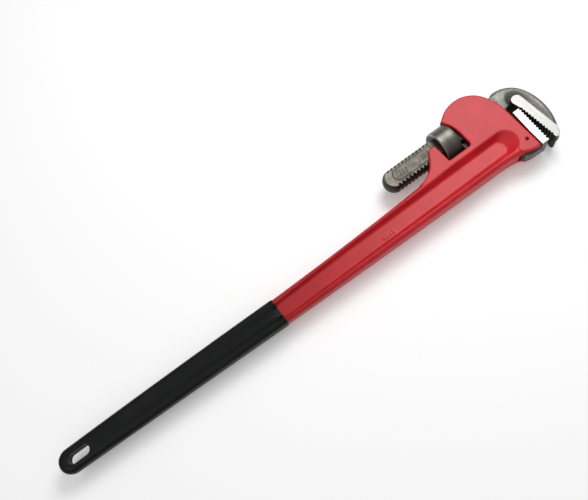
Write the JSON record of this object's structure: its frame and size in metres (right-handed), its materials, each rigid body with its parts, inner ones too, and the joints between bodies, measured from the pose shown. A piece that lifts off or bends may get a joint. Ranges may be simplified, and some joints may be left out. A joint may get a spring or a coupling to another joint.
{
  "type": "pipe wrench",
  "caption": "Straight-pattern pipe wrench: cast beam handle with a sleeve grip, sliding hook jaw on a threaded shank, ring nut in a window, pinned heel jaw.",
  "frame": {"origin": "middle of the wrench's footprint when it lies on its side, on the plane touched by the lowest point of the nut's rim", "axes": "+X along the handle from tail to jaws, +Y from the front edge to the back edge, where the nut and hook jaw are, +Z through the thickness, up"},
  "size_m": [0.9, 0.148, 0.0553],
  "materials": {
    "enamelled_casting": "gloss enamel over cast iron",
    "vinyl_sleeve": "satin dipped vinyl",
    "jaw_steel": "ground, unpainted",
    "forged_steel": "forged and blasted, ground at the jaw",
    "nut_steel": "turned",
    "pin_steel": "blackened",
    "spring_steel": "tempered"
  },
  "bodies": {
    "handle": {"handle": "enamelled_casting", "grip": "vinyl_sleeve", "heel_jaw": "jaw_steel", "heel_jaw_pin": "pin_steel", "coil_spring": "spring_steel"},
    "rocker": {"flat_spring": "spring_steel", "spring_rivet": "pin_steel"},
    "adjusting_nut": {"adjusting_nut": "nut_steel"},
    "hook_jaw": {"hook_jaw": "forged_steel"}
  },
  "joints": [
    {"name": "jaw_rock", "type": "hinge", "parent": "handle", "child": "rocker", "pos_m": [0.28675, 0.0295, 0.02765], "axis": [0, 0, 1], "range_deg": [0, 3.5], "stiffness_Nm_per_rad": 74, "springref_deg": -2.86, "deforming": ["coil_spring"]},
    {"name": "nut_spin", "type": "hinge", "parent": "rocker", "child": "adjusting_nut", "pos_m": [0.28675, 0.0295, 0.02765], "axis": [1, 0, 0], "range_deg": [-4114.2, 51.4]},
    {"name": "jaw_slide", "type": "slide", "parent": "rocker", "child": "hook_jaw", "axis": [1, 0, 0], "range_m": [-0.001, 0.08]}
  ],
  "couplings": [
    {"joint": "jaw_slide", "follows": "nut_spin", "m_per_rad": -0.0011141}
  ]
}
